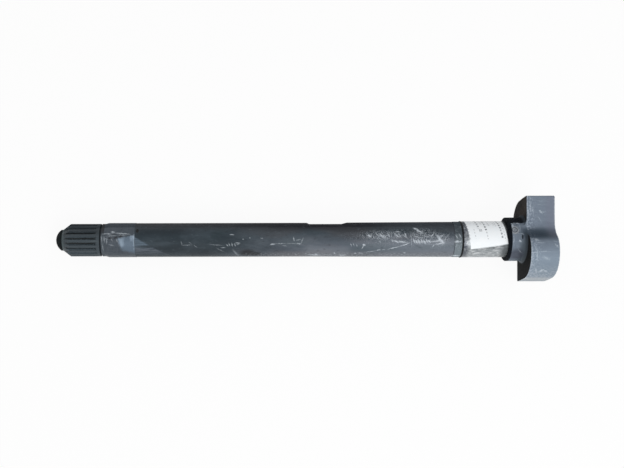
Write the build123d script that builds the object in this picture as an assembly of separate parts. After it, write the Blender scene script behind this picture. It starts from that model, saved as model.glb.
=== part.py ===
from build123d import *
import os
from math import asin, cos, degrees, radians, sin, sqrt

os.makedirs("parts", exist_ok=True)

# Brake camshaft: a forged and machined steel shaft that lies along X, its splined nose
# at -X and its S-shaped cam head at +X. Z is up when it lies on a floor.
# The origin is on the axis, in the middle of the journal beside the spline.
# Lengths in mm, angles in degrees.

# nose, spline and clip groove
nose_dia = 24.4
nose_length = 8.5
nose_dome_radius = 15.0
lead_in_length = 9.1
spline_dia = 38.0
spline_root_dia = 31.6
spline_teeth = 18
spline_length = 32.2
spline_phase = -7.0
groove_mouth = 3.7
groove_floor = 1.5
groove_run_out = 4.6
clip_groove_width = 2.0
clip_groove_depth = 1.4
clip_groove_gap = 3.0
spline_land_length = 3.5

# journal beside the spline
bracket_journal_dia = 40.0
bracket_journal_length = 31.3
bracket_lead_length = 4.0

# forged body, plain at first and then thicker towards the cam
body_dia = 39.5
body_step_length = 0.4
body_plain_length = 201.5
body_end_dia = 41.0
body_taper_length = 167.6
relief_depth = 1.55
relief_length = 38.3
relief_ramps = (4.0, 8.5)
relief_start = 201.7

# shoulder band, ring groove and journal beside the cam
band_dia = 41.5
band_length = 8.0
band_step_length = 0.6
ring_cord = 1.8
ring_groove_width = 2.2
ring_seat_dia = 39.3
cam_journal_dia = 42.0
cam_journal_length = 51.05
journal_fillet = 0.6

# collar
collar_dia = 50.9
collar_length = 20.7
collar_bevel = 0.6
test_mark_dia = 6.0
test_mark_depth = 0.7
test_mark_gap = 6.2
test_mark_angle = 64.5

# S-shaped cam head, drawn with the two flats level, then turned by lobe_phase
head_width = 32.65
lobe_reach = 54.1
flat_height = 19.7
seat_radius = 19.0
seat_offset = 21.2
seat_sweep = 60.0
tip_round = 1.5
end_break = 0.9
head_fillet = 5.0
seat_run_out = 7.5
lobe_phase = 17.5
# angle round the axis, and distance from it as a share of lobe_reach
lobe_chart = (
    (92, 0.652),
    (108, 0.747),
    (137, 0.839),
    (165.5, 0.855),
)

# lathe centres in both ends
nose_centre_dia = 5.6
cam_centre_dia = 9.0
centre_pilot_dia = 4.0
centre_pilot_length = 9.0

# paper label on the cam journal
label_width = 43.4
label_thickness = 0.15
label_skew = 9.0
label_angles = (-28.0, 114.0)
label_middle = 27.9

# stations along X
journal_start = -bracket_journal_length / 2
journal_end = bracket_journal_length / 2
land_end = journal_start - bracket_lead_length
clip_groove_end = land_end - spline_land_length
clip_groove_start = clip_groove_end - clip_groove_width
spline_end = clip_groove_start - clip_groove_gap
spline_start = spline_end - spline_length
nose_end = spline_start - lead_in_length
nose_tip = nose_end - nose_length
taper_start = journal_end + body_plain_length
body_end = taper_start + body_taper_length
ring_groove_start = body_end + band_length
ring_groove_end = ring_groove_start + ring_groove_width
shoulder = ring_groove_end + cam_journal_length
head_start = shoulder + collar_length
head_end = head_start + head_width
seat_start = head_start - seat_run_out

shaft_axis = Axis.X
collar_radius = collar_dia / 2
cam_radius = cam_journal_dia / 2
seat_floor = sqrt(seat_offset**2 + (flat_height + seat_radius) ** 2) - seat_radius
core_radius = seat_floor - 0.5


def turned(points, lead_in=()):
    """A solid turned from (x, radius) points, closed along the axis.

    lead_in holds the edges that lead from the axis to the first point, where they aren't straight.
    """
    ends = [] if lead_in else [(points[0][0], 0)]
    outline = Polyline(*ends, *points, (points[-1][0], 0))
    axis_line = Line(outline @ 1, lead_in[0] @ 0 if lead_in else outline @ 0)
    return revolve(Plane.XZ * make_face([*lead_in, outline, axis_line]), shaft_axis)


def around(radius, angle):
    """The (y, z) of a point at this radius and angle round the axis."""
    return radius * cos(radians(angle)), radius * sin(radians(angle))


def skew_plane(x, angle, skew, across):
    """A plane through the axis at x and this angle round it, turned by skew about its radius.

    It faces round the axis, or along it where across is true.
    """
    angle, skew = radians(angle + lobe_phase), radians(skew)
    tangent = Vector(0, -sin(angle), cos(angle))
    along = Vector(1, 0, 0)
    round_way = tangent * cos(skew) + along * sin(skew)
    long_way = along * cos(skew) - tangent * sin(skew)
    facing, lying = (long_way, round_way) if across else (round_way, long_way)
    return Plane((x, 0, 0), x_dir=lying, z_dir=facing)


# the shaft as it comes off the lathe, from the domed nose to inside the cam head
dome_angle = degrees(asin(nose_dia / 2 / nose_dome_radius))
dome = CenterArc((nose_tip + nose_dome_radius, 0), nose_dome_radius, 180, -dome_angle)
shaft = turned(
    [
        dome @ 1,
        (nose_end, nose_dia / 2),
        (spline_start, spline_dia / 2),
        (clip_groove_start, spline_dia / 2),
        (clip_groove_start, spline_dia / 2 - clip_groove_depth),
        (clip_groove_end, spline_dia / 2 - clip_groove_depth),
        (clip_groove_end, spline_dia / 2),
        (land_end, spline_dia / 2),
        (journal_start, bracket_journal_dia / 2),
        (journal_end, bracket_journal_dia / 2),
        (journal_end + body_step_length, body_dia / 2),
        (taper_start, body_dia / 2),
        (body_end, body_end_dia / 2),
        (body_end + band_step_length, band_dia / 2),
        (ring_groove_start, band_dia / 2),
        (ring_groove_start, ring_seat_dia / 2),
        (ring_groove_end, ring_seat_dia / 2),
        (ring_groove_end, cam_radius),
        (shoulder, cam_radius),
        (shoulder, collar_radius - collar_bevel),
        (shoulder + collar_bevel, collar_radius),
        (seat_start, collar_radius),
        (seat_start + 1.2, core_radius),
        (head_end - 5, core_radius),
    ],
    lead_in=[dome],
)
shoulder_root = (
    shaft.edges()
    .filter_by(GeomType.CIRCLE)
    .filter_by(lambda e: abs(e.arc_center.X - shoulder) < 0.01 and abs(e.radius - cam_radius) < 0.01)
)
shaft = fillet(shoulder_root, journal_fillet)

# one spline groove: its section along X, ended by the slope where the cutter lifts out
root = spline_root_dia / 2
crest = spline_dia / 2
flare = (groove_mouth - groove_floor) / (crest - root)
top_width = groove_mouth + 2 * flare
section = Plane.YZ * make_face(
    Polyline(
        (-groove_floor / 2, root),
        (groove_floor / 2, root),
        (top_width / 2, crest + 2),
        (-top_width / 2, crest + 2),
        close=True,
    )
)
length_of_cut = Plane.XZ * make_face(
    Polyline(
        (nose_end - 1, root - 1),
        (spline_end - groove_run_out, root - 1),
        (spline_end - groove_run_out, root),
        (spline_end, crest),
        (spline_end + 2 * groove_run_out / (crest - root), crest + 2),
        (nose_end - 1, crest + 2),
        close=True,
    )
)
groove = extrude(Pos(X=nose_end - 1) * section, amount=spline_length + 20)
groove = groove & extrude(length_of_cut, amount=top_width, both=True)
pitch = 360 / spline_teeth
for tooth in range(spline_teeth):
    shaft -= Rot(X=spline_phase + lobe_phase + tooth * pitch) * groove

# shallow relief on one side of the body, square to the cam's flats
relief_x = journal_end + relief_start
relief_z = body_dia / 2 - relief_depth
ramp_in, ramp_out = relief_ramps
relief = extrude(
    Plane.XZ
    * make_face(
        Polyline(
            (relief_x - ramp_in, relief_z + 1.5 * relief_depth),
            (relief_x, relief_z),
            (relief_x + relief_length, relief_z),
            (relief_x + relief_length + ramp_out, relief_z + 1.5 * relief_depth),
            (relief_x + relief_length + ramp_out, relief_z + 5),
            (relief_x - ramp_in, relief_z + 5),
            close=True,
        )
    ),
    amount=body_end_dia,
    both=True,
)
shaft -= Rot(X=lobe_phase - 90) * relief

# half of the S: the flat, the roller seat and the lobe's flank to the far tip
tip_y = sqrt(lobe_reach**2 - flat_height**2)
seat_centre = (seat_offset, flat_height + seat_radius)
flat = Line((tip_y, flat_height), (seat_offset, flat_height))
seat = CenterArc(seat_centre, seat_radius, 270, -seat_sweep)
half = [flat, seat]
chart = [around(share * lobe_reach, angle) for angle, share in lobe_chart]
for point in chart + [(-tip_y, -flat_height)]:
    half.append(TangentArc(half[-1] @ 1, point, tangent=half[-1] % 1))
other_half = [edge.rotate(Axis.Z, 180) for edge in half]
cam_face = make_face(Curve() + half + other_half)
tips = cam_face.vertices().filter_by(lambda v: Vector(v.X, v.Y, 0).length > 0.98 * lobe_reach)
cam_face = fillet(tips, tip_round)

# the head runs back over the collar as far as the fillet and the seats' run-out do
cam_plane = Plane((seat_start, 0, 0), x_dir=(0, 1, 0), z_dir=(1, 0, 0))
cam = extrude(cam_plane * cam_face, amount=head_end - seat_start)
cam = chamfer(cam.faces().sort_by(Axis.X)[-1].edges(), end_break)
envelope_outline = Curve() + [
    Polyline(
        (head_start, collar_radius + head_fillet),
        (head_start, 2 * lobe_reach),
        (head_end + 1, 2 * lobe_reach),
        (head_end + 1, 0),
        (seat_start, 0),
        (seat_start, collar_radius),
        (head_start - head_fillet, collar_radius),
    ),
    CenterArc(
        (head_start - head_fillet, collar_radius + head_fillet), head_fillet, 270, 90
    ),
]
envelope = revolve(Plane.XZ * make_face(envelope_outline), shaft_axis)
camshaft = shaft + Rot(X=lobe_phase) * (cam & envelope)

# lathe centres
for end, way, mouth_dia in ((nose_tip, 1, nose_centre_dia), (head_end, -1, cam_centre_dia)):
    mouth = mouth_dia / 2
    pilot = centre_pilot_dia / 2
    depth = (mouth - pilot) * sqrt(3)
    camshaft -= turned(
        [
            (end - way, mouth),
            (end, mouth),
            (end + way * depth, pilot),
            (end + way * (depth + centre_pilot_length), pilot),
        ]
    )

# round hardness-test mark on the collar
mark_sphere = (test_mark_dia**2 / 4 + test_mark_depth**2) / (2 * test_mark_depth)
mark_y, mark_z = around(
    collar_radius - test_mark_depth + mark_sphere, lobe_phase + test_mark_angle
)
camshaft -= Pos(shoulder + test_mark_gap, mark_y, mark_z) * Sphere(mark_sphere)

# sealing ring in the groove beside the cam journal
ring_x = (ring_groove_start + ring_groove_end) / 2
ring_radius = ring_seat_dia / 2 + ring_cord / 2
sealing_ring = Pos(X=ring_x) * Rot(Y=90) * Torus(ring_radius, ring_cord / 2)

# label wrapped round the cam journal, its four edges a little skew to the axis
label_x = ring_groove_end + label_middle
label_radius = cam_radius + label_thickness
label = Pos(X=label_x) * Rot(Y=90) * (
    Cylinder(label_radius, 2 * label_width) - Cylinder(cam_radius, 2 * label_width)
)
for angle, keep in zip(label_angles, (Keep.TOP, Keep.BOTTOM)):
    label = split(label, skew_plane(label_x, angle, label_skew, across=False), keep=keep)
for side, keep in ((-1, Keep.TOP), (1, Keep.BOTTOM)):
    edge_x = label_x + side * label_width / 2
    label = split(label, skew_plane(edge_x, 90, label_skew, across=True), keep=keep)

for node, solid in (("camshaft", camshaft), ("sealing_ring", sealing_ring), ("label", label)):
    solid.label = node
    export_step(solid, f"parts/{node}.step")
    print(node, len(solid.solids()), "solid", round(solid.volume, 1), solid.bounding_box())
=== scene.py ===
import math

import bpy
from mathutils import Matrix, Vector

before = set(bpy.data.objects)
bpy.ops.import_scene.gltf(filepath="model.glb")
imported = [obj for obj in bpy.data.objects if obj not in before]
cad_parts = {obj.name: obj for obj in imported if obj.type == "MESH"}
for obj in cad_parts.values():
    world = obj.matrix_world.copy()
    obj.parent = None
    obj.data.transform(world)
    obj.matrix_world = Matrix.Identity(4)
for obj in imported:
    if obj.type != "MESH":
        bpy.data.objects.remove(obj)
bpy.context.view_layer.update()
scene = bpy.context.scene
scene.view_settings.view_transform = "Standard"

# Camera: square to the shaft, tilted towards the front from looking straight down.
TILT = math.radians(17.5)
ROLL = math.radians(-0.13)
DISTANCE = 1.1002
RAISE = 0.0068
target = Vector((0.15325, 0, 0))
to_camera = Vector((0, -math.sin(TILT), math.cos(TILT)))
image_up = Vector((0, math.cos(TILT), math.sin(TILT)))
lens = bpy.data.cameras.new("camera")
lens.lens = 54.23
lens.sensor_width = 36
lens.shift_x = 0.093
lens.clip_end = 20
camera = bpy.data.objects.new("camera", lens)
scene.collection.objects.link(camera)
place = target + DISTANCE * to_camera + RAISE * image_up
turn = Matrix.Rotation(TILT, 4, "X") @ Matrix.Rotation(ROLL, 4, "Z")
camera.matrix_world = Matrix.Translation(place) @ turn
scene.camera = camera

MILLIMETRES = 1000
SPECULAR = 0.2

# A stroke is an oval that fades from its middle, so it is made longer, wider and stronger than
# the scratch that it shows as.
STROKE_HALF_LENGTH = 0.6
STROKE_HALF_WIDTH = 0.68
STROKE_STRENGTH = 1.7


class Graph:
    """The nodes of one material, built from short calls on numbers or sockets."""

    def __init__(self, name):
        self.material = bpy.data.materials.new(name)
        self.material.use_nodes = True
        self.nodes = self.material.node_tree.nodes
        self.links = self.material.node_tree.links
        self.shader = self.nodes["Principled BSDF"]
        self.shader.inputs["Specular IOR Level"].default_value = SPECULAR

    def plug(self, socket, value):
        if isinstance(value, bpy.types.NodeSocket):
            self.links.new(value, socket)
        else:
            socket.default_value = value

    def set(self, name, value):
        """Drives one input of the material's shader."""
        self.links.new(value, self.shader.inputs[name])

    def math(self, operation, a, b=0.0):
        node = self.nodes.new("ShaderNodeMath")
        node.operation = operation
        self.plug(node.inputs[0], a)
        self.plug(node.inputs[1], b)
        return node.outputs[0]

    def add(self, a, b):
        return self.math("ADD", a, b)

    def times(self, *values):
        result = values[0]
        for value in values[1:]:
            result = self.math("MULTIPLY", result, value)
        return result

    def most(self, *values):
        """The largest of the values, which for masks is where any of them is."""
        result = values[0]
        for value in values[1:]:
            result = self.math("MAXIMUM", result, value)
        return result

    def rest(self, mask):
        """Where the mask is not."""
        return self.math("SUBTRACT", 1.0, mask)

    def ramp(self, value, low, high, bottom=0.0, top=1.0):
        """Rises smoothly from bottom at low to top at high. low may be the larger."""
        node = self.nodes.new("ShaderNodeMapRange")
        node.interpolation_type = "SMOOTHSTEP"
        self.plug(node.inputs["Value"], value)
        if low > high:
            low, high, bottom, top = high, low, top, bottom
        node.inputs["From Min"].default_value = low
        node.inputs["From Max"].default_value = high
        node.inputs["To Min"].default_value = bottom
        node.inputs["To Max"].default_value = top
        return node.outputs["Result"]

    def between(self, value, low, high, soft=0.2):
        """1 from low to high, falling to 0 within soft of each."""
        rise = self.ramp(value, low - soft / 2, low + soft / 2)
        fall = self.ramp(value, high + soft / 2, high - soft / 2)
        return self.times(rise, fall)

    def mix(self, factor, a, b):
        node = self.nodes.new("ShaderNodeMix")
        node.data_type = "RGBA"
        self.plug(node.inputs["Factor"], factor)
        for socket, value in ((node.inputs[6], a), (node.inputs[7], b)):
            self.plug(socket, (*value, 1) if isinstance(value, tuple) else value)
        return node.outputs[2]

    def blend(self, factor, a, b):
        """A number that goes from a to b."""
        node = self.nodes.new("ShaderNodeMix")
        self.plug(node.inputs["Factor"], factor)
        self.plug(node.inputs[2], a)
        self.plug(node.inputs[3], b)
        return node.outputs[0]

    def place(self, turn):
        """The object's own coordinates in millimetres, turned about the shaft."""
        source = self.nodes.new("ShaderNodeTexCoord")
        node = self.nodes.new("ShaderNodeMapping")
        self.links.new(source.outputs["Object"], node.inputs["Vector"])
        node.inputs["Rotation"].default_value = (turn, 0, 0)
        node.inputs["Scale"].default_value = (MILLIMETRES, MILLIMETRES, MILLIMETRES)
        return node.outputs["Vector"]

    def stretch(self, vector, scale):
        node = self.nodes.new("ShaderNodeVectorMath")
        node.operation = "MULTIPLY"
        self.links.new(vector, node.inputs[0])
        node.inputs[1].default_value = scale
        return node.outputs[0]

    def split(self, vector):
        node = self.nodes.new("ShaderNodeSeparateXYZ")
        self.links.new(vector, node.inputs[0])
        return node.outputs[0], node.outputs[1], node.outputs[2]

    def join(self, x, y):
        node = self.nodes.new("ShaderNodeCombineXYZ")
        for socket, value in zip(node.inputs, (x, y)):
            self.plug(socket, value)
        return node.outputs[0]

    def noise(self, vector, scale, detail, roughness, warp=0.0, colour=False):
        node = self.nodes.new("ShaderNodeTexNoise")
        self.links.new(vector, node.inputs["Vector"])
        node.inputs["Scale"].default_value = scale
        node.inputs["Detail"].default_value = detail
        node.inputs["Roughness"].default_value = roughness
        node.inputs["Distortion"].default_value = warp
        return node.outputs["Color" if colour else "Fac"]

    def ragged(self, vector, scale, amount):
        """The same place, pushed about by noise."""
        shift = self.nodes.new("ShaderNodeVectorMath")
        shift.operation = "MULTIPLY_ADD"
        self.links.new(self.noise(vector, scale, 3, 0.6, colour=True), shift.inputs[0])
        shift.inputs[1].default_value = (amount, amount, 0)
        shift.inputs[2].default_value = (-amount / 2, -amount / 2, 0)
        total = self.nodes.new("ShaderNodeVectorMath")
        self.links.new(vector, total.inputs[0])
        self.links.new(shift.outputs[0], total.inputs[1])
        return total.outputs[0]

    def stroke(self, place, start, end, width):
        """A scratch between two points of the surface, tapered to its ends, soft at its sides."""
        run = (end[0] - start[0], end[1] - start[1])
        middle = ((start[0] + end[0]) / 2, (start[1] + end[1]) / 2, 0)
        half_length = math.hypot(*run) * STROKE_HALF_LENGTH + width / 2
        turned = self.nodes.new("ShaderNodeMapping")
        turned.vector_type = "TEXTURE"
        self.links.new(place, turned.inputs["Vector"])
        turned.inputs["Location"].default_value = middle
        turned.inputs["Rotation"].default_value = (0, 0, math.atan2(run[1], run[0]))
        turned.inputs["Scale"].default_value = (half_length, width * STROKE_HALF_WIDTH, 1)
        fade = self.nodes.new("ShaderNodeTexGradient")
        fade.gradient_type = "SPHERICAL"
        self.links.new(turned.outputs["Vector"], fade.inputs["Vector"])
        return fade.outputs["Fac"]

    def strokes(self, place, marks):
        result = 0.0
        for start, end, width, strength in marks:
            mark = self.stroke(place, start, end, width)
            result = self.most(result, self.times(mark, strength * STROKE_STRENGTH))
        return self.math("MINIMUM", result, 1.0)

    def patch(self, place, centre, radii, soft):
        """A soft-edged oval on the surface."""
        shift = self.nodes.new("ShaderNodeVectorMath")
        shift.operation = "SUBTRACT"
        self.links.new(place, shift.inputs[0])
        shift.inputs[1].default_value = (*centre, 0)
        size = self.stretch(shift.outputs[0], (1 / radii[0], 1 / radii[1], 0))
        length = self.nodes.new("ShaderNodeVectorMath")
        length.operation = "LENGTH"
        self.links.new(size, length.inputs[0])
        return self.ramp(length.outputs["Value"], 1 + soft / 2, 1 - soft / 2)

    def bump(self, height, distance, under=None):
        node = self.nodes.new("ShaderNodeBump")
        node.inputs["Distance"].default_value = distance
        self.plug(node.inputs["Height"], height)
        if under:
            self.links.new(under, node.inputs["Normal"])
        return node.outputs["Normal"]


# Stations along the shaft in millimetres, as in the part's source.
NOSE_END = -69.45
SPLINE_START = -60.35
SPLINE_END = -28.15
CLIP_GROOVE = (-25.15, -23.15)
LAND_END = -19.65
BRACKET_JOURNAL = (-15.65, 15.65)
BODY_END = 384.75
RING_GROOVE = 392.75
CAM_JOURNAL = (394.95, 446.0)
BLACK_COLLAR_END = 449.1
HEAD_START = 466.7
HEAD_END = 499.35

# This radius turns an angle round the shaft into millimetres of its surface.
ARC_RADIUS = 20

# The spline: number of teeth, degrees from the camera's side to a groove, and the radii between
# which one colour turns into the next.
TEETH = 18
GROOVE_TURN = 7
GROOVE_FLOOR = (15.9, 16.5)
TOOTH_TOP = (17.8, 18.8)
RUN_OUT = (18.7, 17.9)
CLIP_GROOVE_WALL = (18.8, 18.4)

# The label: its radius, its middle along the shaft and its turn; the step of its printed rows, in
# millimetres, and where they start, in steps.
LABEL_RADIUS = 21.15
LABEL_MIDDLE = 421.6
LABEL_SKEW = math.radians(9)
ROW_PITCH = 3.9
ROW_START = 20.42

# Columns of specks on the label: middle, bottom, top and width in millimetres, shift in steps,
# strength. Beside them, the limits of one small speckled square, across and down.
PRINT_COLUMNS = [
    (-19.6, 2, 28, 1.2, 0.0, 0.45), (-13.0, 3, 16, 1.0, 0.5, 0.45),
    (-7.3, 15, 40, 2.2, 0.4, 0.9), (-2.6, 22, 40, 1.4, 0.1, 0.4),
    (0.7, 0, 10, 1.2, 0.0, 0.55), (0.7, 11, 40, 2.2, 0.0, 1.0),
    (5.7, 16, 40, 2.0, 0.3, 0.6), (11.2, 17, 40, 1.4, 0.7, 0.4),
    (13.4, 15, 40, 1.4, 0.2, 0.4), (17.2, -2, 40, 1.9, 0.0, 1.0),
    (20.2, -5, 16, 0.8, 0.5, 0.5),
]
PRINT_SQUARE = ((-7.4, -4.0), (10.2, 13.6))

# The middle of the hardness test mark: along the shaft, up the picture, towards the camera.
TEST_MARK = (452.2, 10.8, 22.7)

# The direction of the side that is turned away, as shares of up the picture and to the camera.
AWAY = (0.515, -0.857)

# Colours that come back: rubbed edges of the ground journal, and chalk.
RUBBED = (0.42, 0.46, 0.5)
CHALK = (0.80, 0.87, 0.94)

# Scratches and chalk on the body: start and end in millimetres (along the shaft, round it from
# the side that faces the camera), width, strength.
LEFT_MARKS = [
    ((69.3, -1.5), (70.6, -6.0), 1.2, 0.35), ((70.5, -6.2), (82.0, -5.6), 1.3, 0.35),
    ((78.0, -2.5), (81.5, -4.6), 1.0, 0.25), ((84.0, -6.0), (87.5, -8.6), 1.0, 0.3),
    ((100.4, -5.0), (118.0, -6.6), 1.0, 0.3), ((115.5, -9.0), (120.0, -9.4), 1.3, 0.6),
    ((121.5, -5.4), (123.4, -7.4), 1.1, 0.7), ((124.2, -3.6), (125.4, -7.0), 1.2, 0.7),
    ((127.6, -4.2), (128.6, -7.4), 1.3, 0.7), ((131.0, -4.0), (131.8, -7.4), 1.3, 0.7),
    ((132.0, -3.2), (137.0, -3.6), 1.5, 0.6), ((133.6, -5.4), (136.4, -4.4), 1.6, 0.5),
    ((125.6, 6.4), (130.2, 6.2), 1.1, 1.5), ((140.2, 1.0), (141.6, 0.6), 1.0, 0.5),
    ((148.2, 2.6), (149.2, 2.0), 1.0, 0.5), ((161.2, 2.0), (163.4, 1.7), 1.1, 0.65),
    ((172.0, -5.8), (177.6, -4.7), 1.6, 1.0), ((177.6, -4.7), (190.0, -4.2), 0.7, 0.6),
    ((190.0, -4.2), (206.0, -4.6), 0.6, 0.5), ((186.0, -6.6), (191.0, -7.6), 1.0, 0.4),
    ((198.6, 3.2), (199.4, -1.2), 1.3, 0.8), ((202.0, -0.5), (206.6, 0.4), 1.1, 0.5),
    ((203.0, -4.4), (207.0, -4.6), 1.5, 0.9), ((207.0, -4.6), (210.0, 2.2), 1.3, 0.35),
    ((110.0, -9.8), (119.0, -15.6), 1.2, 0.25), ((129.0, -12.0), (135.5, -24.0), 2.6, 0.3),
]
RIGHT_MARKS = [
    ((264.4, -4.6), (265.4, -7.6), 1.0, 0.55), ((267.0, -3.8), (268.4, -7.2), 0.9, 0.45),
    ((271.0, -5.0), (272.0, -8.0), 0.9, 0.4), ((278.8, -6.0), (280.8, -6.4), 1.9, 1.0),
    ((279.6, -7.0), (277.4, -11.0), 1.0, 0.6), ((269.4, -18.0), (271.2, -18.6), 1.6, 0.8),
    ((281.0, -16.8), (295.0, -13.4), 0.7, 0.65), ((294.8, -13.0), (299.0, -12.6), 1.1, 0.8),
    ((301.0, -12.4), (304.0, -12.2), 1.0, 0.6), ((307.0, -11.8), (321.0, -8.0), 0.8, 0.9),
    ((321.0, -8.0), (332.0, -4.0), 1.0, 1.0), ((311.6, 0.6), (312.6, -2.2), 1.2, 0.7),
    ((312.0, -2.0), (331.0, -3.2), 1.2, 0.55), ((313.6, -1.0), (319.4, -3.0), 1.8, 0.7),
    ((320.0, -1.8), (327.6, -3.4), 2.0, 0.75), ((284.6, 5.4), (287.6, 3.2), 2.4, 0.9),
    ((290.6, 4.4), (291.6, 1.0), 1.1, 0.6), ((299.8, 9.4), (301.4, 6.4), 1.1, 0.6),
    ((315.6, 9.6), (322.0, 9.2), 1.3, 0.6), ((316.0, 5.4), (320.8, 2.8), 1.5, 0.7),
    ((326.4, 8.0), (328.2, 3.6), 1.2, 0.6), ((289.0, 8.0), (288.0, 3.6), 1.0, 0.4),
    ((293.0, 8.0), (296.4, 4.2), 1.2, 0.6), ((297.0, 7.2), (303.6, 1.6), 1.8, 0.75),
    ((304.0, 5.2), (300.4, 3.4), 1.3, 0.6), ((306.8, 7.6), (309.4, 3.0), 1.3, 0.65),
    ((297.0, -1.0), (299.0, -3.6), 1.0, 0.45), ((313.5, 8.6), (318.0, 4.2), 1.4, 0.6),
    ((319.0, 8.4), (322.4, 2.2), 1.2, 0.55), ((323.5, 6.0), (330.0, 1.4), 1.3, 0.5),
    ((337.4, 14.0), (341.2, 12.4), 2.2, 0.8), ((341.2, 13.4), (342.2, 8.8), 2.2, 0.85),
    ((343.0, 10.6), (347.0, 8.2), 1.7, 0.7), ((341.0, 12.6), (346.4, 7.2), 1.6, 0.8),
    ((333.4, 8.6), (334.8, -8.8), 0.6, 0.5), ((334.6, 4.8), (346.8, 1.2), 1.0, 0.5),
    ((336.0, 0.8), (338.4, -3.8), 1.7, 0.9), ((339.0, -0.6), (341.4, -4.4), 1.7, 0.8),
    ((342.0, -0.2), (344.2, -4.8), 1.8, 0.95), ((345.4, 0.4), (346.8, -4.2), 1.5, 0.8),
    ((348.0, -0.8), (350.6, -4.6), 1.8, 0.9), ((351.0, 0.2), (352.8, -3.6), 1.5, 0.8),
    ((353.4, -0.8), (356.2, -3.6), 1.6, 0.85), ((337.0, -2.4), (357.0, -2.4), 1.0, 0.5),
    ((339.0, 6.0), (352.0, 7.6), 0.8, 0.45), ((346.0, 4.6), (356.0, 3.2), 1.0, 0.5),
    ((356.6, 2.4), (360.4, 7.6), 0.9, 0.75), ((354.0, 5.4), (358.2, 3.0), 0.8, 0.5),
    ((356.0, -2.4), (364.6, -2.2), 1.2, 0.6), ((362.0, 5.4), (366.6, 1.0), 1.6, 0.75),
    ((366.0, 1.4), (371.6, -4.4), 2.6, 1.0), ((364.4, 4.0), (368.6, -2.6), 3.4, 0.8),
    ((371.8, -4.6), (361.8, -5.2), 1.2, 0.8), ((362.0, -2.0), (368.0, -1.0), 1.8, 0.8),
    ((366.6, 1.2), (371.0, 6.0), 1.1, 0.65), ((372.4, -2.0), (374.0, 2.8), 0.9, 0.5),
    ((373.8, 2.8), (378.0, 6.0), 0.9, 0.5), ((358.4, -9.6), (360.4, -5.4), 1.0, 0.6),
    ((326.0, -17.2), (328.4, -17.4), 1.4, 0.7), ((385.2, 4.6), (387.2, 1.6), 1.2, 0.6),
    ((388.8, 6.4), (391.2, 2.4), 1.2, 0.6), ((384.8, -2.6), (388.2, -2.2), 2.6, 0.9),
    ((388.8, -2.8), (391.6, -1.4), 1.4, 0.6), ((386.0, -8.6), (386.6, -5.0), 1.0, 0.35),
    ((217.0, -21.6), (229.0, -22.8), 2.2, 0.7), ((224.0, -19.0), (227.0, -22.0), 1.4, 0.6),
    ((245.8, -16.2), (247.0, -19.6), 1.2, 0.6), ((252.0, -22.6), (260.0, -22.8), 1.8, 0.7),
    ((273.6, -17.4), (278.4, -18.4), 1.3, 0.55), ((383.0, -23.4), (391.0, -22.6), 2.4, 0.8),
]

# The same on the journal beside the spline: its pale rubs and its dark dents.
JOURNAL_RUBS = [
    ((-18.0, 7.4), (-9.0, 7.6), 1.2, 0.7), ((-10.8, 9.9), (-7.4, 9.3), 2.2, 1.0),
    ((-6.6, 8.4), (9.8, 7.2), 1.4, 1.0), ((-17.0, 4.8), (-5.0, 5.6), 1.1, 0.55),
    ((-3.0, 6.2), (6.0, 5.4), 1.2, 0.5), ((-15.8, 2.6), (-16.4, -4.2), 1.6, 0.6),
    ((-22.4, 5.8), (-22.0, -2.0), 1.4, 0.6), ((-11.2, 2.6), (-9.6, -1.0), 1.2, 0.45),
    ((-14.0, -5.0), (-8.0, -6.4), 1.4, 0.35), ((-5.0, 1.6), (-3.8, -2.0), 1.2, 0.5),
    ((-22.0, 7.6), (-14.0, 8.0), 1.2, 0.7), ((-21.6, -4.0), (-20.6, -14.0), 1.2, 0.5),
    ((-19.4, 4.4), (-18.6, -2.4), 1.6, 0.6), ((-20.4, 2.0), (-14.0, 1.2), 1.0, 0.4),
]
JOURNAL_DENTS = [
    ((-14.0, 2.4), (-10.4, 2.0), 1.9, 0.7), ((-7.4, 2.6), (-4.4, 3.8), 2.2, 0.75),
    ((-2.0, 3.8), (1.8, 5.2), 1.9, 0.75), ((-13.0, 6.2), (-4.0, 6.8), 0.9, 0.5),
]

# The same on the head: along the shaft and up the picture.
HEAD_SCUFFS = [
    ((481.6, 33.0), (484.4, 30.0), 1.9, 1.0), ((484.4, 31.4), (488.8, 31.6), 1.0, 0.35),
    ((479.4, 26.6), (483.6, 20.2), 1.0, 0.4), ((470.4, 44.0), (471.6, 30.2), 1.8, 0.4),
    ((473.6, 37.6), (474.4, 27.0), 1.2, 0.35), ((468.4, 36.4), (469.0, 24.0), 1.6, 0.45),
    ((475.4, 44.4), (492.0, 43.6), 0.8, 0.25), ((475.4, 40.2), (490.0, 39.4), 0.8, 0.25),
    ((470.8, 0.8), (477.0, -1.4), 1.9, 0.5), ((471.0, -3.4), (482.4, -3.6), 0.8, 0.4),
    ((474.8, -13.4), (489.0, -14.2), 1.0, 0.35), ((472.4, -6.0), (473.8, -25.0), 1.5, 0.4),
    ((478.6, -37.0), (482.8, -34.4), 2.1, 0.85), ((483.0, -35.2), (488.6, -37.4), 1.4, 0.6),
    ((473.4, -33.4), (476.0, -38.4), 1.8, 0.55), ((480.0, -20.0), (487.4, -22.6), 3.4, 0.3),
    ((493.6, -5.0), (497.0, -8.8), 1.6, 0.6), ((492.0, -2.0), (498.0, -2.6), 1.0, 0.4),
    ((456.8, -1.2), (458.8, -2.6), 1.8, 0.9), ((452.0, 7.2), (456.0, 7.0), 1.0, 0.5),
    ((450.6, 4.4), (450.6, -7.0), 1.0, 0.6), ((450.6, 18.6), (450.4, 13.2), 2.2, 1.2),
    ((450.2, 12.0), (450.8, 7.6), 1.2, 0.6), ((450.6, 19.0), (459.0, 18.6), 1.4, 0.9),
    ((458.6, 17.6), (458.2, 9.0), 0.9, 0.5), ((457.4, 6.6), (462.4, 5.8), 0.9, 0.45),
    ((455.0, -10.0), (461.6, -16.4), 0.8, 0.35),
]


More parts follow.
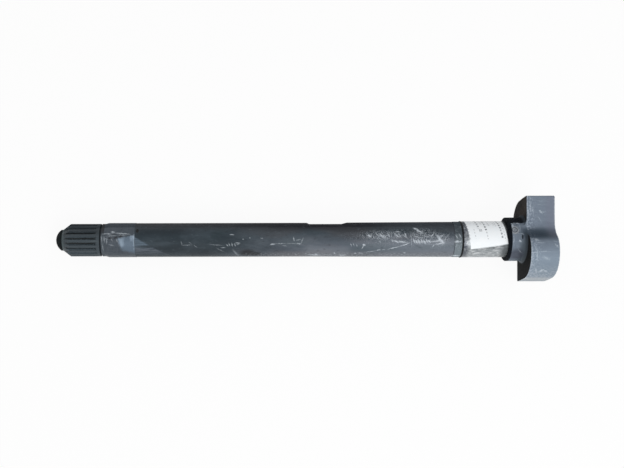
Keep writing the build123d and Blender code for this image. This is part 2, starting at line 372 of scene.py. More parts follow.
def label_directions(g, x, arc):
    """Millimetres across the label and down it, from its middle."""
    along = g.add(x, -LABEL_MIDDLE)
    across = g.add(g.times(along, math.cos(LABEL_SKEW)), g.times(arc, math.sin(LABEL_SKEW)))
    down = g.add(g.times(along, -math.sin(LABEL_SKEW)), g.times(arc, math.cos(LABEL_SKEW)))
    return across, down


class Surface:
    """Places on the shaft, and the grain and the zones that its colours share.

    x, v and w are millimetres along the shaft, up the picture and towards the camera. level is
    the share of v in the radius, arc goes round the shaft, skin is the surface rolled out flat,
    and facing is how far it faces the head's end. A zone is 1 on its part and 0 elsewhere.
    """

    def __init__(self, g):
        self.spot = spot = g.place(-TILT)
        self.x, self.v, self.w = x, v, w = g.split(spot)
        self.radius = radius = g.math("SQRT", g.add(g.times(v, v), g.times(w, w)))
        self.level = g.math("DIVIDE", v, radius)
        self.arc = g.times(g.math("ARCTAN2", v, w), ARC_RADIUS)
        self.skin = skin = g.join(x, self.arc)
        self.flat = g.join(x, v)
        self.loose = g.ragged(skin, 0.55, 2.2)
        self.frayed = g.ragged(skin, 0.75, 2.5)
        source = g.nodes.new("ShaderNodeTexCoord")
        self.facing = facing = g.split(source.outputs["Normal"])[0]

        # the grain, from 30 mm clouds down to a tenth of a millimetre
        self.clouds = g.noise(g.stretch(spot, (0.022, 0.06, 0.06)), 1, 4, 0.6, warp=0.4)
        self.mottle = g.noise(g.stretch(spot, (0.16, 0.3, 0.3)), 1, 5, 0.65)
        self.grain = g.noise(spot, 1.1, 4, 0.6)
        self.fine = g.noise(spot, 4.0, 2, 0.5)
        self.drawn = g.noise(g.stretch(spot, (0.05, 1.6, 1.6)), 1, 3, 0.6)
        self.rings = g.noise(g.stretch(spot, (6.0, 0.12, 0.12)), 1, 3, 0.65)
        self.worn = g.ramp(g.noise(spot, 0.5, 4, 0.7), 0.40, 0.62)
        self.spots = g.noise(self.flat, 0.5, 4, 0.7)
        broken = g.ramp(g.noise(g.stretch(skin, (0.9, 2.4, 1)), 1, 3, 0.7), 0.38, 0.62)
        gaps = g.ramp(g.noise(skin, 2.6, 2, 0.6), 0.34, 0.6, 0.45, 1)
        self.broken = g.times(broken, gaps)

        # zones along the shaft
        self.nose = g.ramp(x, NOSE_END - 0.05, NOSE_END - 0.2)
        self.spline = g.between(x, NOSE_END - 0.15, SPLINE_END + 3)
        self.land = g.between(x, SPLINE_END + 3, LAND_END)
        self.journal = g.between(x, BRACKET_JOURNAL[0] - 4, BRACKET_JOURNAL[1], 0.6)
        self.band = g.between(x, BODY_END, RING_GROOVE)
        self.cam_journal = g.between(x, CAM_JOURNAL[0], CAM_JOURNAL[1])
        self.collar = g.ramp(x, CAM_JOURNAL[1] - 0.5, CAM_JOURNAL[1] - 0.2)
        self.black_collar = g.ramp(x, BLACK_COLLAR_END + 0.1, BLACK_COLLAR_END - 0.1)
        self.head = g.ramp(x, HEAD_START - 1.0, HEAD_START + 0.5)

        # zones of the head: the half towards the camera, the end face, the valley between the
        # lobes, the lobes' side faces towards the spline, the collar's side that is turned away
        self.front = g.ramp(w, 4, 9)
        self.faced = g.times(g.ramp(facing, 0.9, 0.98), g.ramp(x, HEAD_END - 1, HEAD_END - 0.4))
        self.valley = g.times(g.ramp(x, 460, 467), g.ramp(x, 503, 472), g.between(v, 1, 12, 5),
                              g.ramp(w, 2, 8), g.rest(self.faced))
        self.past_collar = g.ramp(x, 458.5, 460.5)
        self.lobe_sides = g.times(g.ramp(facing, -0.80, -0.97), self.past_collar)
        # the collar's side turned away from the camera, painted black as shade
        away = g.math("DIVIDE", g.add(g.times(v, AWAY[0]), g.times(w, AWAY[1])), radius)
        away = g.add(away, g.times(g.add(self.mottle, -0.5), 0.24))
        self.painted_shade_behind = g.times(g.ramp(away, -0.24, -0.16),
                              g.ramp(x, HEAD_START + 0.6, HEAD_START - 0.2))


def body_scale_and_painted_light(g, s):
    """Blue-black scale, browner and darker along its upper edge as painted shade, paler on its
    lower side and towards the cam as painted light, partly real tone.
    """
    x, v, w, level = s.x, s.v, s.w, s.level
    spot, clouds, mottle = s.spot, s.clouds, s.mottle
    body = g.mix(g.ramp(clouds, 0.36, 0.64), (0.021, 0.032, 0.041), (0.044, 0.060, 0.074))
    pale = g.mix(g.ramp(clouds, 0.36, 0.64), (0.088, 0.106, 0.132), (0.128, 0.144, 0.172))
    # painted light, partly real tone: paler on the lower side, more so towards the cam
    body = g.mix(g.times(g.ramp(x, 110, 245), g.ramp(level, 0.58, -0.44)), body, pale)
    palest_painted_light = g.times(g.ramp(x, 255, 330), g.ramp(level, 0.5, -0.42), 0.52)
    body = g.mix(palest_painted_light, body, (0.180, 0.209, 0.247))
    hue = g.noise(g.stretch(spot, (0.013, 0.05, 0.05)), 1, 2, 0.5)
    reddish = g.times(g.ramp(hue, 0.5, 0.66, 0, 0.26), g.ramp(x, 60, 220))
    body = g.mix(reddish, body, (0.100, 0.084, 0.086))
    greenish = g.times(g.ramp(hue, 0.5, 0.36, 0, 0.26), g.ramp(x, 60, 220))
    body = g.mix(greenish, body, (0.045, 0.078, 0.084))
    # painted light along the lower edge
    painted_light_below = g.times(g.ramp(level, -0.5, -0.9), g.ramp(x, 140, 220), 0.25)
    body = g.mix(painted_light_below, body, (0.170, 0.158, 0.152))
    body = g.mix(g.ramp(w, 0, -14, 0, 0.35), body, (0.100, 0.118, 0.138))
    # painted light on the lower side from 212 to 262 mm
    painted_light_low = g.times(g.ramp(level, -0.25, -0.55), g.between(x, 212, 262, 12), 0.3)
    body = g.mix(painted_light_low, body, (0.235, 0.255, 0.285))
    # painted shade: darker along the upper edge, on the side towards the camera
    dark = g.mix(g.ramp(x, 40, 230), (0.048, 0.050, 0.056), (0.012, 0.013, 0.017))
    dark = g.mix(g.ramp(x, 270, 330), dark, (0.034, 0.041, 0.050))
    edge = g.ramp(g.add(level, g.ramp(x, 60, 200, -0.12, 0.0)), 0.35, 0.86)
    body = g.mix(g.times(edge, g.ramp(w, -16, 0)), body, dark)
    # painted shade at the left end, on the lower side and in a band under the upper edge
    painted_shade_low_left = g.times(g.ramp(x, 130, 90), g.ramp(level, -0.15, -0.6), 0.5)
    body = g.mix(painted_shade_low_left, body, (0.016, 0.021, 0.026))
    painted_shade_high_left = g.times(g.between(level, 0.34, 0.66, 0.3), g.ramp(x, 130, 60), 0.45)
    body = g.mix(painted_shade_high_left, body, (0.014, 0.019, 0.025))
    body = g.mix(g.ramp(mottle, 0.55, 0.8, 0, 0.4), body, (0.12, 0.145, 0.165))
    body = g.mix(g.ramp(mottle, 0.46, 0.25, 0, 0.5), body, (0.012, 0.016, 0.021))

    # light rubbing on the side that is turned away
    rubs = g.noise(g.stretch(spot, (0.05, 0.14, 0.14)), 1, 5, 0.72, warp=0.8)
    away_side = g.ramp(g.add(w, g.times(v, -0.9)), 2, -12)
    body = g.mix(g.times(g.ramp(rubs, 0.52, 0.66), away_side, 0.30), body, (0.150, 0.170, 0.190))
    body = g.mix(g.times(g.ramp(rubs, 0.46, 0.34), away_side, 0.35), body, (0.012, 0.014, 0.017))
    return body


def body_wear(g, s, body):
    """Rubbing, stains and chips on the body."""
    x, arc, skin, loose, frayed = s.x, s.arc, s.skin, s.loose, s.frayed

    # the overrun of the journal's bright patch, cut off on a slant
    slant = g.add(g.times(x, 0.62), g.split(loose)[1])
    streaks = g.noise(g.stretch(skin, (0.05, 0.42, 1)), 1, 4, 0.6, warp=0.3)
    overrun = g.times(g.ramp(x, 15.8, 16.4), g.ramp(slant, 14.8, 12.2),
                      g.ramp(arc, -24, -12), g.ramp(streaks, 0.34, 0.6, 0.35, 1))
    shade = g.stroke(loose, (20, -7.2), (42, -7.8), 3.4)
    overrun = g.times(overrun, g.rest(g.math("MINIMUM", g.times(shade, 1.6), 0.9)))
    wash = g.mix(g.ramp(arc, -4, -12), (0.12, 0.165, 0.215), (0.112, 0.130, 0.158))
    body = g.mix(g.times(overrun, 0.85), body, wash)

    # two dark stains
    body = g.mix(g.patch(frayed, (18.8, 11.6), (1.5, 2.8), 0.5), body, (0.008, 0.008, 0.008))
    stain = g.most(g.patch(loose, (146, -18), (9.5, 5.5), 0.9),
                   g.patch(loose, (153, -19.5), (9, 4), 0.9))
    body = g.mix(g.times(stain, 0.85), body, (0.013, 0.015, 0.018))

    # chips along the lower edge
    chips = g.times(g.ramp(g.noise(g.stretch(skin, (0.35, 0.8, 1)), 1, 4, 0.7), 0.53, 0.64),
                    g.ramp(arc, -15, -21), g.ramp(arc, -44, -30), g.ramp(x, 110, 180))
    body = g.mix(g.times(chips, 0.6), body, (0.45, 0.48, 0.52))
    return body


def chalk(g, s):
    """Where the body is white: strokes, curls and specks."""
    skin, loose, frayed, broken = s.skin, s.loose, s.frayed, s.broken
    tangle = g.noise(g.stretch(skin, (0.34, 0.26, 1)), 1, 3, 0.6, warp=1.2)
    curls = g.ramp(g.math("ABSOLUTE", g.add(tangle, -0.5)), 0.026, 0.006)
    crowded = g.most(
        g.patch(loose, (300, 5), (24, 5.5), 0.8), g.patch(loose, (349, 5), (16, 7.5), 0.8),
        g.patch(loose, (349, -2.4), (14, 3), 0.8), g.patch(loose, (367, 0), (9, 7), 0.8),
    )
    hazy = g.times(curls, crowded, 0.44)
    white = g.most(g.times(g.strokes(frayed, LEFT_MARKS), 0.7), g.strokes(frayed, RIGHT_MARKS))
    dusted = g.most(
        g.patch(skin, (318, 3), (54, 10), 0.9), g.patch(skin, (362, 0), (24, 11), 0.9),
        g.patch(skin, (388, -5), (6, 10), 0.9),
    )
    specks = g.times(g.ramp(g.noise(skin, 1.3, 2, 0.5), 0.60, 0.68), dusted)
    white = g.most(g.times(white, g.ramp(broken, 0, 1, 0.25, 1)), hazy, g.times(specks, 0.45))
    return white


def ground_journal(g, s):
    """The ground journal, brownish grey and rubbed bright; also its rubbed rows."""
    arc, skin, frayed = s.arc, s.skin, s.frayed
    mottle, rings, broken = s.mottle, s.rings, s.broken
    ground = g.mix(g.ramp(rings, 0.35, 0.65), (0.048, 0.059, 0.072), (0.076, 0.091, 0.109))
    ground = g.mix(g.ramp(mottle, 0.4, 0.7, 0, 0.5), ground, (0.098, 0.109, 0.125))
    wiped = g.ramp(g.noise(g.stretch(skin, (1.1, 0.16, 1)), 1, 3, 0.6), 0.25, 0.62, 0.5, 1)
    torn_x, torn_arc, _ = g.split(g.ragged(skin, 0.3, 5.0))
    upper = g.add(g.times(torn_x, 0.22), 2.4)
    left = g.add(torn_x, g.times(torn_arc, 0.25))
    lower = g.add(torn_arc, g.times(torn_x, 0.35))
    rubbed = g.times(g.ramp(left, -4.6, -0.6), g.ramp(lower, -14.5, -8.5),
                     g.ramp(g.math("SUBTRACT", torn_arc, upper), 1.1, -1.1))
    brighter = g.most(g.times(g.ramp(torn_x, 6.5, 0.5), g.ramp(torn_arc, -11, -5), 0.8),
                      g.times(g.ramp(torn_x, 8.5, 13.5), g.ramp(torn_arc, -3.5, 2.5)), 0.12)
    ground = g.mix(g.times(rubbed, 0.8), ground, (0.108, 0.148, 0.196))
    ground = g.mix(g.times(rubbed, brighter, wiped, 0.75), ground, (0.33, 0.41, 0.50))
    rows = g.strokes(frayed, JOURNAL_RUBS)
    rows = g.times(rows, g.ramp(broken, 0, 1, 0.4, 1))
    ground = g.mix(rows, ground, RUBBED)
    lit = g.times(g.between(torn_x, 14.4, 16.4, 0.8), g.ramp(arc, -15, -9), g.ramp(arc, 10, 6),
                  broken)
    ground = g.mix(g.times(lit, 0.7), ground, (0.44, 0.53, 0.62))
    dents = g.strokes(frayed, JOURNAL_DENTS)
    ground = g.mix(dents, ground, (0.03, 0.032, 0.036))
    return ground, rows


def splines(g, s):
    """Dark grooves between paler teeth, darker where they run out; the dark of the grooves, their
    run-outs and the lines on the bevel is painted shade, the teeth are darker on their upper side
    as painted shade, and their flanks are made paler to offset the grooves' shade.
    """
    x, radius, level = s.x, s.radius, s.level
    # painted shade on the upper side of the teeth; the flanks are painted paler to offset the shade
    # in the grooves
    crest = g.mix(g.ramp(level, 0.56, 0.1), (0.028, 0.036, 0.043), (0.046, 0.060, 0.071))
    flank = g.mix(g.ramp(level, 0.56, 0.1), (0.040, 0.051, 0.060), (0.100, 0.130, 0.152))
    sloped = g.ramp(s.facing, -0.3, -0.45)
    lead_in = g.times(sloped, g.ramp(x, SPLINE_START + 2, SPLINE_START + 1))
    # painted shade on the sloped run-outs of the grooves
    run_out_shade = g.times(sloped, g.ramp(x, SPLINE_START + 1, SPLINE_START + 2),
                      g.ramp(radius, *RUN_OUT))
    teeth = g.mix(g.most(g.ramp(radius, *TOOTH_TOP), lead_in), flank, crest)
    # painted shade on the groove floors
    teeth = g.mix(g.most(g.ramp(radius, *GROOVE_FLOOR), lead_in), (0.008, 0.011, 0.013), teeth)
    turns = g.times(s.arc, TEETH / (2 * math.pi * ARC_RADIUS))
    tooth = g.math("FRACT", g.add(turns, 0.5 - GROOVE_TURN * TEETH / 360))
    # painted shade: dark lines where the grooves run onto the bevel
    lines = g.times(g.between(tooth, 0.40, 0.60, 0.1),
                    g.between(x, NOSE_END + 2.8, NOSE_END + 6.6, 0.8))
    teeth = g.mix(g.times(g.most(lines, run_out_shade), 0.85), teeth, (0.010, 0.014, 0.016))
    teeth = g.mix(g.ramp(s.drawn, 0.46, 0.70, 0, 0.5), teeth, (0.10, 0.12, 0.128))
    bevel = g.times(g.between(x, NOSE_END, NOSE_END + 2.4, 0.6), 0.8)
    teeth = g.mix(bevel, teeth, (0.075, 0.098, 0.104))
    return teeth


def bright_journal(g, s):
    """Bright ground steel, darker towards its collar end as painted shade."""
    x, level, arc, skin, mottle, rings = s.x, s.level, s.arc, s.skin, s.mottle, s.rings
    bright = g.mix(g.ramp(rings, 0.35, 0.65), (0.265, 0.29, 0.305), (0.375, 0.40, 0.415))
    bright = g.mix(g.ramp(mottle, 0.45, 0.7, 0, 0.5), bright, (0.52, 0.54, 0.54))
    scuffed = g.noise(g.stretch(skin, (0.15, 0.32, 1)), 1, 4, 0.62, warp=0.6)
    bright = g.mix(g.ramp(scuffed, 0.51, 0.62, 0, 0.75), bright, (0.60, 0.62, 0.635))
    bright = g.mix(g.ramp(scuffed, 0.47, 0.36, 0, 0.75), bright, (0.165, 0.18, 0.195))
    ring_side = g.times(g.ramp(x, 403, 397), g.ramp(mottle, 0.35, 0.6, 0.5, 1))
    bright = g.mix(ring_side, bright, (0.050, 0.058, 0.076))
    flecks = g.times(g.ramp(x, 403, 399), g.ramp(g.noise(skin, 0.9, 3, 0.7), 0.57, 0.66), 0.8)
    bright = g.mix(flecks, bright, (0.5, 0.5, 0.52))
    # painted shade, darker towards the collar end
    painted_shade_collar_end = g.ramp(g.add(x, g.times(scuffed, 12)), 441.6, 447.8)
    bright = g.mix(g.times(painted_shade_collar_end, 0.86), bright, (0.07, 0.08, 0.085))
    # painted shadow of the shoulder on the upper side of the journal's end
    beside = g.times(g.ramp(x, 443.0, 444.6), g.ramp(level, -0.3, 0.1))
    bright = g.mix(g.times(beside, 0.92), bright, (0.008, 0.010, 0.013))
    down = label_directions(g, x, arc)[1]
    shadow = g.times(g.between(down, -11.2, -9.6, 0.6), g.ramp(x, 404, 428), 0.55)
    bright = g.mix(shadow, bright, (0.03, 0.033, 0.036))
    return bright


def forging(g, s):
    """The blue-grey of the collar and the head, paler on the head's lower part as painted light,
    and darker as painted shade in the roller's pocket by the collar, in the valley and where the
    collar meets the lower lobe.
    """
    x, v, w, radius, loose = s.x, s.v, s.w, s.radius, s.loose
    clouds, mottle, grain, head, faced = s.clouds, s.mottle, s.grain, s.head, s.faced
    brushed = g.noise(g.stretch(s.spot, (0.10, 0.9, 0.9)), 1, 3, 0.6)
    blue = g.mix(g.ramp(mottle, 0.3, 0.7), (0.112, 0.142, 0.180), (0.160, 0.195, 0.242))
    blue = g.mix(g.times(head, 0.4), blue, (0.186, 0.226, 0.288))
    # painted light: the head paler towards its lower part
    blue = g.mix(g.times(head, g.ramp(v, 4, -30), 0.5), blue, (0.235, 0.300, 0.365))
    blue = g.mix(g.times(head, g.ramp(brushed, 0.5, 0.75), 0.12), blue, (0.34, 0.39, 0.45))
    blue = g.mix(g.ramp(grain, 0.58, 0.75, 0, 0.3), blue, (0.36, 0.40, 0.45))
    # painted shade in the roller's pocket next to the collar
    root = g.times(v, g.math("SIGN", w))
    seat_shade = g.times(g.ramp(g.add(x, g.times(root, 0.35)), 459.5, 465.5), g.ramp(root, -8, 3),
                   g.ramp(root, 17, 6), g.ramp(radius, 38, 30), g.rest(faced))
    blue = g.mix(g.times(seat_shade, 0.86), blue, (0.026, 0.040, 0.056))
    mauve = g.times(g.ramp(x, 484, 494), g.ramp(v, -2, 6), g.ramp(w, 2, 8), g.rest(faced), 0.4)
    blue = g.mix(mauve, blue, (0.165, 0.172, 0.225))
    # painted shade in the valley between the lobes
    blue = g.mix(g.times(s.valley, 0.7), blue, (0.030, 0.046, 0.066))
    # painted shade where the collar meets the lower lobe
    corner_shade = g.times(g.ramp(g.add(x, g.times(clouds, 8)), 459, 467.5), g.ramp(x, 467.2, 466.4),
                     g.ramp(v, 3, -4), g.ramp(w, 2, 8))
    blue = g.mix(g.times(corner_shade, 0.7), blue, (0.045, 0.062, 0.075))
    plum = g.times(g.patch(loose, (455, -15.5), (9, 6.5), 0.8), 0.6)
    blue = g.mix(plum, blue, (0.045, 0.045, 0.066))
    return blue


def handling(g, s, blue):
    """Pale rims, partly wear and partly painted highlight, painted light along the underside,
    blotches, scuffs, dust and a small dark spot on the head.
    """
    x, v, w, clouds, mottle = s.x, s.v, s.w, s.clouds, s.mottle
    worn, spots, head, valley = s.worn, s.spots, s.head, s.valley
    # pale edges of the head: wear, and painted highlight
    rim_wear_and_highlight = g.most(g.between(x, HEAD_START, HEAD_START + 1.4, 0.8),
                 g.between(x, HEAD_END - 1.2, HEAD_END + 1, 0.8))
    rim_wear_and_highlight = g.times(rim_wear_and_highlight, worn, g.rest(s.faced), g.rest(valley), 0.55)
    blue = g.mix(rim_wear_and_highlight, blue, (0.52, 0.58, 0.64))
    near = g.times(head, g.ramp(g.add(x, g.times(clouds, 14)), 488, 474),
                   g.rest(g.times(valley, 0.8)))
    blue = g.mix(g.times(near, g.ramp(spots, 0.50, 0.60), 0.65), blue, (0.40, 0.46, 0.54))
    blue = g.mix(g.times(near, g.ramp(spots, 0.46, 0.38), 0.55), blue, (0.10, 0.135, 0.185))
    # painted light along the underside of the lower lobe
    painted_light_underside = g.times(head, g.ramp(v, -42.5, -46.5), g.ramp(v, -54, -47, 0.35, 1), 0.5)
    blue = g.mix(painted_light_underside, blue, (0.48, 0.50, 0.51))
    scraped = g.ragged(s.flat, 0.5, 3.4)
    scuffs = g.strokes(scraped, HEAD_SCUFFS)
    scuffs = g.times(scuffs, s.front, g.ramp(s.broken, 0, 1, 0.25, 0.85))
    blue = g.mix(scuffs, blue, (0.62, 0.69, 0.76))
    dusty = g.times(g.ramp(g.add(v, g.times(clouds, 22)), -12, -34),
                    g.ramp(g.add(w, g.times(mottle, 14)), 2, 16), worn, 0.3)
    blue = g.mix(g.times(dusty, head), blue, (0.6, 0.64, 0.68))
    # a small dark spot by the collar
    dark_spot = g.times(g.patch(scraped, (460.6, 2.8), (1.1, 2.4), 0.6), s.front)
    blue = g.mix(dark_spot, blue, (0.008, 0.012, 0.018))
    return blue


def hardness_mark(g, s, blue):
    """The hardness test mark in its ground square."""
    spots = s.spots
    square = g.times(g.between(s.x, 449.4, 457.5, 0.8), g.between(s.arc, 4.5, 20, 1.0), s.front)
    blue = g.mix(g.times(square, g.ramp(spots, 0.50, 0.40), 0.7), blue, (0.040, 0.050, 0.062))
    blue = g.mix(g.times(square, g.ramp(spots, 0.54, 0.64), 0.6), blue, (0.33, 0.34, 0.355))
    gap = g.nodes.new("ShaderNodeVectorMath")
    gap.operation = "DISTANCE"
    g.links.new(g.ragged(s.spot, 0.8, 0.8), gap.inputs[0])
    gap.inputs[1].default_value = TEST_MARK
    ring = gap.outputs["Value"]
    cleared = g.times(g.ramp(ring, 5.6, 4.4), g.ramp(s.worn, 0, 1, 0.35, 0.8))
    blue = g.mix(cleared, blue, (0.32, 0.34, 0.36))
    blue = g.mix(g.times(g.between(ring, 2.4, 3.4, 0.7), 0.8), blue, (0.035, 0.042, 0.052))
    blue = g.mix(g.times(g.ramp(ring, 1.2, 0.6), 0.6), blue, (0.05, 0.06, 0.07))
    return blue


def black_scale_and_painted_shade(g, s, blue):
    """Black where the forging scale was left on, made blacker still on the lobes' side faces as
    painted shade; painted shade on the collar's side turned away and in the fillets facing the
    spline; and the turned end face.
    """
    mottle = s.mottle
    # black scale on the lobes' side faces, darkened further as painted shade
    side = g.mix(g.ramp(mottle, 0.35, 0.7), (0.0010, 0.0014, 0.0018), (0.005, 0.0055, 0.006))
    rusty = g.times(g.ramp(s.v, 22, 32), g.ramp(s.clouds, 0.25, 0.65))
    side = g.mix(rusty, side, (0.036, 0.030, 0.027))
    black = g.mix(g.ramp(mottle, 0.4, 0.7), (0.0010, 0.0024, 0.0044), (0.003, 0.0065, 0.0115))
    blue = g.mix(s.black_collar, blue, black)
    # painted shade on the collar's side turned away
    blue = g.mix(s.painted_shade_behind, blue, black)
    # painted shade in the fillets that face the spline
    fillet_shade = g.times(g.ramp(s.facing, -0.15, -0.75), s.past_collar)
    blue = g.mix(g.times(fillet_shade, 0.8), blue, (0.030, 0.040, 0.050))
    blue = g.mix(s.lobe_sides, blue, side)
    spun = g.noise(g.join(g.times(s.radius, 1.3), 0.0), 1, 3, 0.65)
    blue = g.mix(g.times(s.faced, g.ramp(spun, 0.42, 0.62, 0, 0.35)), blue, (0.30, 0.35, 0.40))
    return blue


def steel():
    g = Graph("camshaft_steel")
    s = Surface(g)
    x, level, mottle, fine = s.x, s.level, s.mottle, s.fine
    body = body_wear(g, s, body_scale_and_painted_light(g, s))
    ground, rows = ground_journal(g, s)

    # shoulder band, darker on its upper side and paler on its lower side as painted shade and
    # painted light, with a dark line where it meets the body
    band_shaded = g.mix(g.ramp(level, 0.61, -0.64), (0.040, 0.052, 0.062), (0.165, 0.198, 0.22))
    band_shaded = g.mix(g.ramp(mottle, 0.45, 0.7, 0, 0.5), band_shaded, (0.19, 0.23, 0.25))
    shell = g.mix(s.band, body, band_shaded)
    seam = g.times(g.between(x, BODY_END - 1.1, BODY_END - 0.2, 0.3), 0.7)
    shell = g.mix(seam, shell, (0.02, 0.024, 0.03))
    shell = g.mix(chalk(g, s), shell, CHALK)

    # nose, splines, clip groove and journal
    tip = g.mix(g.ramp(mottle, 0.4, 0.7), (0.002, 0.004, 0.005), (0.008, 0.012, 0.013))
    colour = g.mix(s.nose, shell, tip)
    colour = g.mix(s.spline, colour, splines(g, s))
    # painted shade: the land darker on its upper side
    plain = g.mix(g.ramp(level, 0.6, 0.25), (0.030, 0.032, 0.036), (0.070, 0.086, 0.102))
    plain = g.mix(g.ramp(mottle, 0.4, 0.7, 0, 0.5), plain, (0.022, 0.030, 0.037))
    colour = g.mix(s.land, colour, g.mix(rows, plain, RUBBED))
    colour = g.mix(s.journal, colour, ground)
    # painted shade in the clip groove
    clip_groove_shade = g.times(g.ramp(x, CLIP_GROOVE[0] - 0.1, CLIP_GROOVE[0]),
                     g.ramp(x, CLIP_GROOVE[1] - 0.1, CLIP_GROOVE[1] - 0.9, 0.35, 1),
                     g.ramp(s.radius, *CLIP_GROOVE_WALL))
    colour = g.mix(clip_groove_shade, colour, (0.003, 0.007, 0.011))

    # cam journal, collar and head
    colour = g.mix(s.cam_journal, colour, bright_journal(g, s))
    blue = handling(g, s, forging(g, s))
    blue = black_scale_and_painted_shade(g, s, hardness_mark(g, s, blue))
    colour = g.mix(s.collar, colour, blue)
    g.set("Base Color", colour)

    metal = g.most(g.times(s.journal, 0.5), g.times(s.cam_journal, 0.6),
                   g.times(s.collar, g.rest(s.lobe_sides), 0.2))
    g.set("Metallic", metal)
    rough = g.blend(s.journal, g.ramp(mottle, 0.3, 0.7, 0.42, 0.6), 0.38)
    rough = g.blend(s.cam_journal, rough, 0.36)
    rough = g.blend(s.collar, rough, g.ramp(mottle, 0.3, 0.7, 0.48, 0.62))
    matt = g.most(s.nose, s.lobe_sides, g.times(s.collar, s.black_collar), s.painted_shade_behind)
    rough = g.blend(matt, rough, 0.92)
    rough = g.add(rough, g.times(g.add(fine, -0.5), 0.25))
    g.set("Roughness", rough)

    pits = g.add(g.times(s.grain, 0.7), g.times(fine, 0.3))
    turned = g.most(s.journal, s.cam_journal)
    first = g.bump(g.times(pits, g.rest(turned)), 0.00018)
    second = g.bump(g.times(s.rings, turned), 0.00003, first)
    g.set("Normal", second)
    return g.material


def rubber():
    g = Graph("ring_black_rubber")
    spot = g.place(0)
    grain = g.noise(spot, 2.0, 3, 0.6)
    dust = g.noise(g.stretch(spot, (0.3, 0.12, 0.12)), 1, 3, 0.6)
    colour = g.mix(g.ramp(dust, 0.5, 0.75), (0.004, 0.005, 0.006), (0.012, 0.013, 0.015))
    g.set("Base Color", colour)
    g.set("Roughness", g.ramp(grain, 0.3, 0.7, 0.5, 0.68))
    g.set("Normal", g.bump(grain, 0.00006))
    return g.material


def paper():
    """White paper with rows of faint printed specks that spell nothing."""
    g = Graph("label_white_paper")
    spot = g.place(-TILT)
    x, v, w = g.split(spot)
    arc = g.times(g.math("ARCTAN2", v, w), LABEL_RADIUS)
    fibre = g.noise(spot, 1.6, 4, 0.65)
    cloud = g.noise(spot, 0.12, 3, 0.5)
    colour = g.mix(g.ramp(cloud, 0.35, 0.7), (0.895, 0.935, 0.965), (0.92, 0.95, 0.97))

    across, down = label_directions(g, x, arc)
    blot = g.ramp(g.noise(g.join(across, down), 0.85, 2, 0.6), 0.36, 0.48)
    print_mask = 0.0
    for middle, bottom, top, wide, shift, strength in PRINT_COLUMNS:
        step = g.math("FRACT", g.add(g.times(down, 1 / ROW_PITCH), shift + ROW_START))
        column = g.between(across, middle - wide / 2, middle + wide / 2, 0.4)
        specks = g.times(g.between(step, 0.2, 0.78, 0.12), column,
                         g.between(down, bottom, top, 0.8), strength)
        print_mask = g.most(print_mask, specks)
    dots = g.ramp(g.noise(g.join(across, down), 1.9, 1, 0.5), 0.42, 0.54)
    block = g.times(g.between(across, *PRINT_SQUARE[0], 0.3),
                    g.between(down, *PRINT_SQUARE[1], 0.3))
    print_mask = g.most(g.times(print_mask, blot), g.times(block, dots, 0.8))
    colour = g.mix(g.times(print_mask, 0.9), colour, (0.13, 0.145, 0.16))
    smudge = g.times(g.ramp(arc, 15, 24), g.ramp(g.noise(spot, 0.5, 3, 0.6), 0.35, 0.65), 0.3)
    colour = g.mix(smudge, colour, (0.55, 0.56, 0.57))
    g.set("Base Color", colour)
    g.set("Roughness", g.ramp(fibre, 0.3, 0.7, 0.5, 0.62))
    g.set("Normal", g.bump(fibre, 0.00005))
    return g.material


makers = {"camshaft": steel, "sealing_ring": rubber, "label": paper}
for name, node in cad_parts.items():
    node.data.materials.clear()
    node.data.materials.append(makers[name]())


# Floor: a wide white sheet under the resting shaft, which touches it with the head and the splines.
HEAD_REST = 0.467
HEIGHT_UNDER_HEAD = -0.0340
SLOPE = 0.0283
REACH = 12
SHEET_WHITE = (0.93, 0.93, 0.93, 1)


def floor_height(x):
    return HEIGHT_UNDER_HEAD + SLOPE * (HEAD_REST - x)


mesh = bpy.data.meshes.new("floor")
corners = [(-REACH, -REACH), (REACH, -REACH), (REACH, REACH), (-REACH, REACH)]
mesh.from_pydata([(x, y, floor_height(x)) for x, y in corners], [], [(0, 1, 2, 3)])
floor = bpy.data.objects.new("floor", mesh)
scene.collection.objects.link(floor)
sheet = Graph("floor")
sheet.shader.inputs["Base Color"].default_value = SHEET_WHITE
sheet.shader.inputs["Roughness"].default_value = 0.9

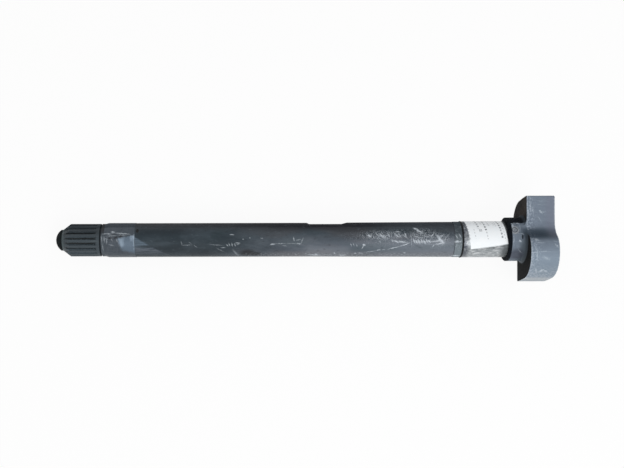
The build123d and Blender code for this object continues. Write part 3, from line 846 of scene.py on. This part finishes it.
# The sheet glows where it is seen, directly or in a reflection, so that it stays even and white.
SEEN_RAYS = ("Is Camera Ray", "Is Glossy Ray", "Is Transmission Ray")
GLOW_SHARE = 0.92
light_path = sheet.nodes.new("ShaderNodeLightPath")
seen = sheet.most(*(light_path.outputs[ray] for ray in SEEN_RAYS))
glow = sheet.nodes.new("ShaderNodeEmission")
glow.inputs["Color"].default_value = (1, 1, 1, 1)
glow.inputs["Strength"].default_value = 1
both = sheet.nodes.new("ShaderNodeMixShader")
sheet.links.new(sheet.times(seen, GLOW_SHARE), both.inputs[0])
sheet.links.new(sheet.shader.outputs[0], both.inputs[1])
sheet.links.new(glow.outputs[0], both.inputs[2])
sheet.links.new(both.outputs[0], sheet.nodes["Material Output"].inputs["Surface"])
mesh.materials.append(sheet.material)

# World: a plain pale room, brighter where it is seen than where it only lights.
STRENGTH_AS_LIGHT = 0.62
STRENGTH_SEEN = 1.0
world = bpy.data.worlds.new("world")
scene.world = world
world.use_nodes = True
room = world.node_tree
sky = room.nodes["Background"]
sky.inputs["Color"].default_value = (1, 1, 1, 1)
sky_path = room.nodes.new("ShaderNodeLightPath")
any_ray = sky_path.outputs[SEEN_RAYS[0]]
for ray in SEEN_RAYS[1:]:
    either = room.nodes.new("ShaderNodeMath")
    either.operation = "MAXIMUM"
    room.links.new(any_ray, either.inputs[0])
    room.links.new(sky_path.outputs[ray], either.inputs[1])
    any_ray = either.outputs[0]
strength = room.nodes.new("ShaderNodeMapRange")
room.links.new(any_ray, strength.inputs["Value"])
strength.inputs["To Min"].default_value = STRENGTH_AS_LIGHT
strength.inputs["To Max"].default_value = STRENGTH_SEEN
room.links.new(strength.outputs["Result"], sky.inputs["Strength"])

# Key light: a wide panel above the head's end, on the camera's side.
key_place = Vector((0.85, -1.2, 1.3))
key_aim = Vector((0.25, 0, 0))
panel = bpy.data.lights.new("key", "AREA")
panel.shape = "RECTANGLE"
panel.size = 1.4
panel.size_y = 1.0
panel.energy = 15
key = bpy.data.objects.new("key", panel)
scene.collection.objects.link(key)
key.location = key_place
key.rotation_euler = (key_aim - key_place).to_track_quat("-Z", "Y").to_euler()
